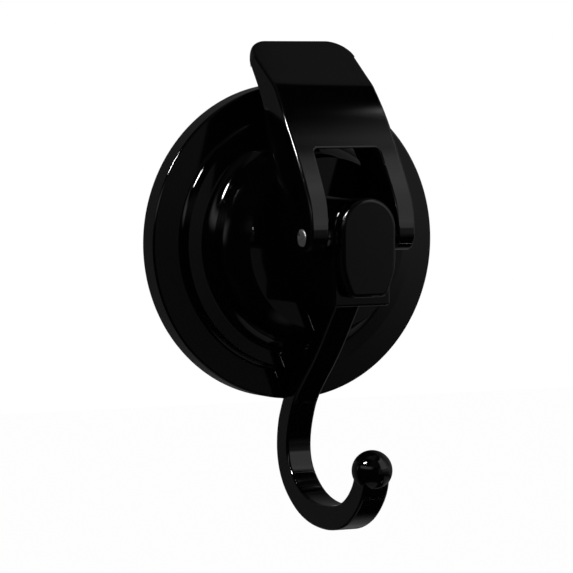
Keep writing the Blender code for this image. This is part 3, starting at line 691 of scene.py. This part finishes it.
def softRubber(name, v):
    # Cloudy grey rubber with a thin shine.
    fixed = {"IOR": v["ior"], "Coat Weight": v["coat"], "Coat Roughness": v["coatRough"]}
    material, tree, shader = principled(name, fixed)
    cloud = noise(tree, v["cloudScale"], detail=4.0)
    tone = tones(tree, cloud, v["dark"], v["light"])
    varied = {"Base Color": tone, "Roughness": v["rough"] + cloud * v["spread"]}
    feed(tree, shader, varied, noise(tree, v["grainScale"], detail=2.0), v["bump"], v["deep"])
    return material


def mattePlastic(name, v):
    # Fine grained black plastic.
    material, tree, shader = principled(name, {"IOR": v["ior"]})
    grain = noise(tree, v["grainScale"], roughness=0.6)
    tone = tones(tree, grain, v["dark"], v["light"])
    varied = {"Base Color": tone, "Roughness": v["rough"] + grain * v["spread"]}
    feed(tree, shader, varied, grain, v["bump"], v["deep"])
    return material


def steel(name, v, drawn):
    # Drawn steel: fine streaks along X from noise stretched that way.
    material, tree, shader = principled(name, {"Metallic": v["metal"]})
    place = tree.node("ShaderNodeTexCoord", out="Object")
    long = tree.node("ShaderNodeMapping", {}, {"Vector": place, "Scale": drawn["scale"]})
    streak = tree.node("ShaderNodeTexNoise", {}, {"Vector": long, "Scale": 1.0, "Detail": 3.0})
    tone = tones(tree, streak, tuple(c * drawn["dark"] for c in v["light"]), v["light"])
    varied = {"Base Color": tone, "Roughness": v["rough"] + streak * drawn["spread"]}
    feed(tree, shader, varied, streak, drawn["bump"], drawn["deep"])
    return material


def dress(piece, material):
    if not piece.material_slots:
        piece.data.materials.append(material)
    for place in piece.material_slots:
        place.material = material


dress(housing, glossPlastic("housing gloss black", finishValues["gloss"]))
dress(hook, glossPlastic("hook gloss black", finishValues["gloss"]))
dress(lever, glossPlastic("lever gloss black", finishValues["gloss"]))
dress(cap, glossPlastic("cap satin black", finishValues["satin"]))
dress(disc, softRubber("soft clear grey rubber", finishValues["rubber"]))
dress(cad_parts["stem"], mattePlastic("stem matte black", finishValues["matte"]))
dress(pin, steel("pin steel", finishValues["pin"], finishValues["drawn"]))
for name in ("hook_screw_upper", "hook_screw_lower"):
    dress(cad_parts[name], steel(name + " steel", finishValues["screw"], finishValues["drawn"]))
print("stage 8: finishes")


# Stage: pale floor, studio dome, world and lamp

stageValues = {
    "floor": (-1.2, 1.2, -1.0, 1.2, -0.16),     # left, right, front, back and height in metres
    "pale": 0.86, "shade": 0.06, "dome": 1.7, "plain": 0.9,
    "key": (-0.737, -0.116, 0.666), "keyFar": 1.5, "keyRadius": 0.05, "keyPower": 1.1,
    "keyLong": (-0.548, 0.681, -0.488), "keyHigh": 9.0, "keyWide": 3.5,
    "slant": (0.4795, 7.0), "line": (0.493, 1.6, 0.277),
}

# The light that the dome sends from each direction. Two edges are where it starts and where it is full,
# four are start, full, full and end. Turn (0 in front, 90 at the right) and rise are in degrees.
lightFields = {
    "front window": {"turn": (18.0, 27.0, 46.0, 92.0), "rise": (4.5, 10.0, 48.6, 54.8), "glow": 0.68},
    "window's upper fade": {"turn": (20.0, 40.0, 70.0, 110.0), "rise": (40.0, 50.0, 52.0, 57.0), "glow": 0.1},
    "haze in front": {"turn": (4.0, 13.0, 70.0, 100.0), "rise": (-19.0, -11.0, 6.0, 16.0), "glow": 0.058},
    "haze on the left": {"turn": (4.0, 13.0, 18.5, 21.5), "rise": (-19.0, -11.0, 6.0, 16.0), "glow": 0.029},
    "haze at eye height": {"turn": (4.0, 13.0, 70.0, 100.0), "rise": (-3.5, 1.0, 6.0, 16.0), "glow": 0.029},
    "haze low down": {"turn": (4.0, 13.0, 70.0, 100.0), "rise": (-19.0, -11.0, -12.0, -9.5), "glow": 0.0232},
    "low window": {"turn": (25.0, 35.0, 70.0, 100.0), "rise": (-10.0, -0.5, 5.0, 12.0), "glow": 0.19},
    "right": {"turn": (72.0, 92.0, 110.0, 150.0), "rise": (-25.0, -5.0, 35.0, 50.0), "glow": 0.12},
    "back right": {"turn": (138.0, 146.0, 156.0, 164.0), "rise": (-10.0, -6.0, 2.0, 6.0), "glow": 0.3},
    "left screen": {"turn": (-108.0, -92.0, -45.0, -15.0), "rise": (6.0, 18.0, 19.0, 28.0), "glow": 0.65},
    "narrow left screen": {"turn": (-125.0, -121.0, -119.0, -115.5), "rise": (-5.0, 6.0, 9.0, 21.0),
                           "glow": 0.38},
    "front left": {"turn": (-50.0, -30.0, 5.0, 20.0), "rise": (14.0, 26.0), "glow": 0.035},
    "above": {"z": (0.88, 0.96), "glow": 0.07},
    "behind": {"y": (0.4, 0.75), "rise": (-60.0, -30.0, 30.0, 60.0), "glow": 0.063},
    "behind and below": {"x": (0.2, 0.4), "y": (0.1, 0.5), "z": (-0.3, -0.6), "glow": 0.15},
    "ground": {"x": (0.35, 0.2), "z": (-0.86, -0.93), "glow": 0.13},
    "ground on the right": {"x": (0.62, 0.7), "z": (-0.3, -0.5), "glow": 0.13},
    "ceiling at the back": {"slant": (0.0, 0.08), "rise": (44.0, 50.0), "glow": 0.078},
    "ceiling line": {"line": (-0.005, 0.001, 0.001, 0.024), "x": (0.486, 0.493, 0.56, 0.62), "glow": 4.5},
    "lamp": {"away": (1.0, 0.6), "toward": (0.5, 0.8), "glow": 160.0},
}


def flatPlate(name, x0, x1, y0, y1, z):
    mesh = bpy.data.meshes.new(name)
    mesh.from_pydata([(x0, y0, z), (x1, y0, z), (x1, y1, z), (x0, y1, z)], [], [(0, 1, 2, 3)])
    plate = bpy.data.objects.new(name, mesh)
    bpy.context.scene.collection.objects.link(plate)
    return plate


def paleMaterial(name, v):
    # Pale to the lamps and nearly white to the camera, with the shadow kept.
    material = bpy.data.materials.new(name)
    tree = Tree(material)
    ray = tree.node("ShaderNodeLightPath", out="Is Camera Ray")
    clear = ray.top(Link(tree, ray.socket.node.outputs["Is Transmission Ray"]))
    plain = tree.node("ShaderNodeBsdfDiffuse", {}, {"Color": (v["pale"], v["pale"], v["pale"], 1)})
    white = tree.node("ShaderNodeEmission", {}, {"Color": (1, 1, 1, 1), "Strength": 1.0})
    both = tree.node("ShaderNodeMixShader", {}, {0: clear * (1 - v["shade"]), 1: plain, 2: white})
    tree.node("ShaderNodeOutputMaterial", {}, {"Surface": both})
    return material


def lightMeasures(tree, v):
    # What the fields go by: the direction's x, y and z, and the angles and distances worked out from them.
    place = tree.node("ShaderNodeTexCoord", out="Object")
    parts = tree.node("ShaderNodeSeparateXYZ", {}, {"Vector": place}).socket.node.outputs
    x, y, z = (Link(tree, parts[k]) / v["dome"] for k in range(3))
    rise = z.math("ARCSINE", z.math("MINIMUM", z.math("MAXIMUM", z, -1.0), 1.0)) * math.degrees(1)
    turn = x.math("ARCTAN2", x, 0 - y) * math.degrees(1)
    slantPlace, slantLean = v["slant"]
    linePlace, lineLean, lineDrop = v["line"]
    slant = y + (x - slantPlace) * slantLean
    line = y + (x - linePlace) * lineLean + lineDrop
    key, long = Vector(v["key"]).normalized(), Vector(v["keyLong"]).normalized()
    toward, high, wide = (x * a + y * b + z * c for a, b, c in (key, long, key.cross(long).normalized()))
    squares = [math.sin(math.radians(v[name])) ** 2 for name in ("keyHigh", "keyWide")]
    away = high * high / squares[0] + wide * wide / squares[1]     # 1 on the lamp's oval edge
    return {"x": x, "y": y, "z": z, "turn": turn, "rise": rise, "slant": slant, "line": line,
            "away": away, "toward": toward}


def studioDome(v, fields):
    # A far shell that only reflections see: a dark room with soft screens and one small strong lamp.
    rise = np.linspace(-np.pi / 2, np.pi / 2, 33)
    profile = np.column_stack([v["dome"] * np.cos(rise) / mm, v["dome"] * np.sin(rise) / mm - wallGap])
    dome = turned("studio_dome", profile, 64)
    dome.visible_camera = dome.visible_diffuse = dome.visible_shadow = False
    dome.visible_transmission = dome.visible_volume_scatter = False
    material = bpy.data.materials.new("studio light")
    tree = Tree(material)
    measures = lightMeasures(tree, v)
    light = 0.0
    for field in fields.values():
        share = field["glow"]
        for name, edges in field.items():
            if name != "glow":
                share = measures[name].smooth(*edges[:2]) * share
            if name != "glow" and len(edges) == 4:
                share = measures[name].smooth(edges[3], edges[2]) * share
        light = share + light
    glow = tree.node("ShaderNodeEmission", {}, {"Color": (1, 1, 1, 1), "Strength": light})
    tree.node("ShaderNodeOutputMaterial", {}, {"Surface": glow})
    dress(dome, material)


def makeWorld(v):
    # White to the camera and plain to diffuse rays; reflections see the dome instead.
    world = bpy.data.worlds.new("studio")
    bpy.context.scene.world = world
    tree = Tree(world)
    ray = tree.node("ShaderNodeLightPath", out="Is Camera Ray")
    rays = ray.socket.node.outputs
    seen = ray.top(Link(tree, rays["Is Transmission Ray"]))
    strength = seen + Link(tree, rays["Is Diffuse Ray"]) * v["plain"]
    air = tree.node("ShaderNodeBackground", {}, {"Color": (1, 1, 1, 1), "Strength": strength})
    tree.node("ShaderNodeOutputWorld", {}, {"Surface": air})


def makeStage(v):
    floor = flatPlate("floor", *v["floor"])
    floor.visible_glossy = False
    dress(floor, paleMaterial("pale floor", v))
    studioDome(v, lightFields)
    makeWorld(v)
    lamp = bpy.data.lights.new("key", "POINT")
    lamp.energy = v["keyPower"]
    lamp.shadow_soft_size = v["keyRadius"]
    key = bpy.data.objects.new("key", lamp)
    key.location = Vector(v["key"]).normalized() * v["keyFar"]
    bpy.context.scene.collection.objects.link(key)


makeStage(stageValues)


# Camera

cameraValues = {
    "eye": (-0.39043, -0.73232, 0.03956), "target": (0.000176, -0.002593, -0.010264), "lens": 233.42,
    "sensor": 36.0, "nearest": 0.01,
}


def makeCamera(v):
    data = bpy.data.cameras.new("camera")
    data.lens = v["lens"]
    data.sensor_width = v["sensor"]
    data.clip_start = v["nearest"]
    data.dof.use_dof = False
    camera = bpy.data.objects.new("camera", data)
    bpy.context.scene.collection.objects.link(camera)
    eye = Vector(v["eye"])
    way = Vector(v["target"]) - eye
    camera.matrix_world = Matrix.Translation(eye) @ way.to_track_quat("-Z", "Y").to_matrix().to_4x4()
    bpy.context.scene.camera = camera


makeCamera(cameraValues)
bpy.context.scene.view_settings.view_transform = "Standard"
print("stage 9: stage and camera")
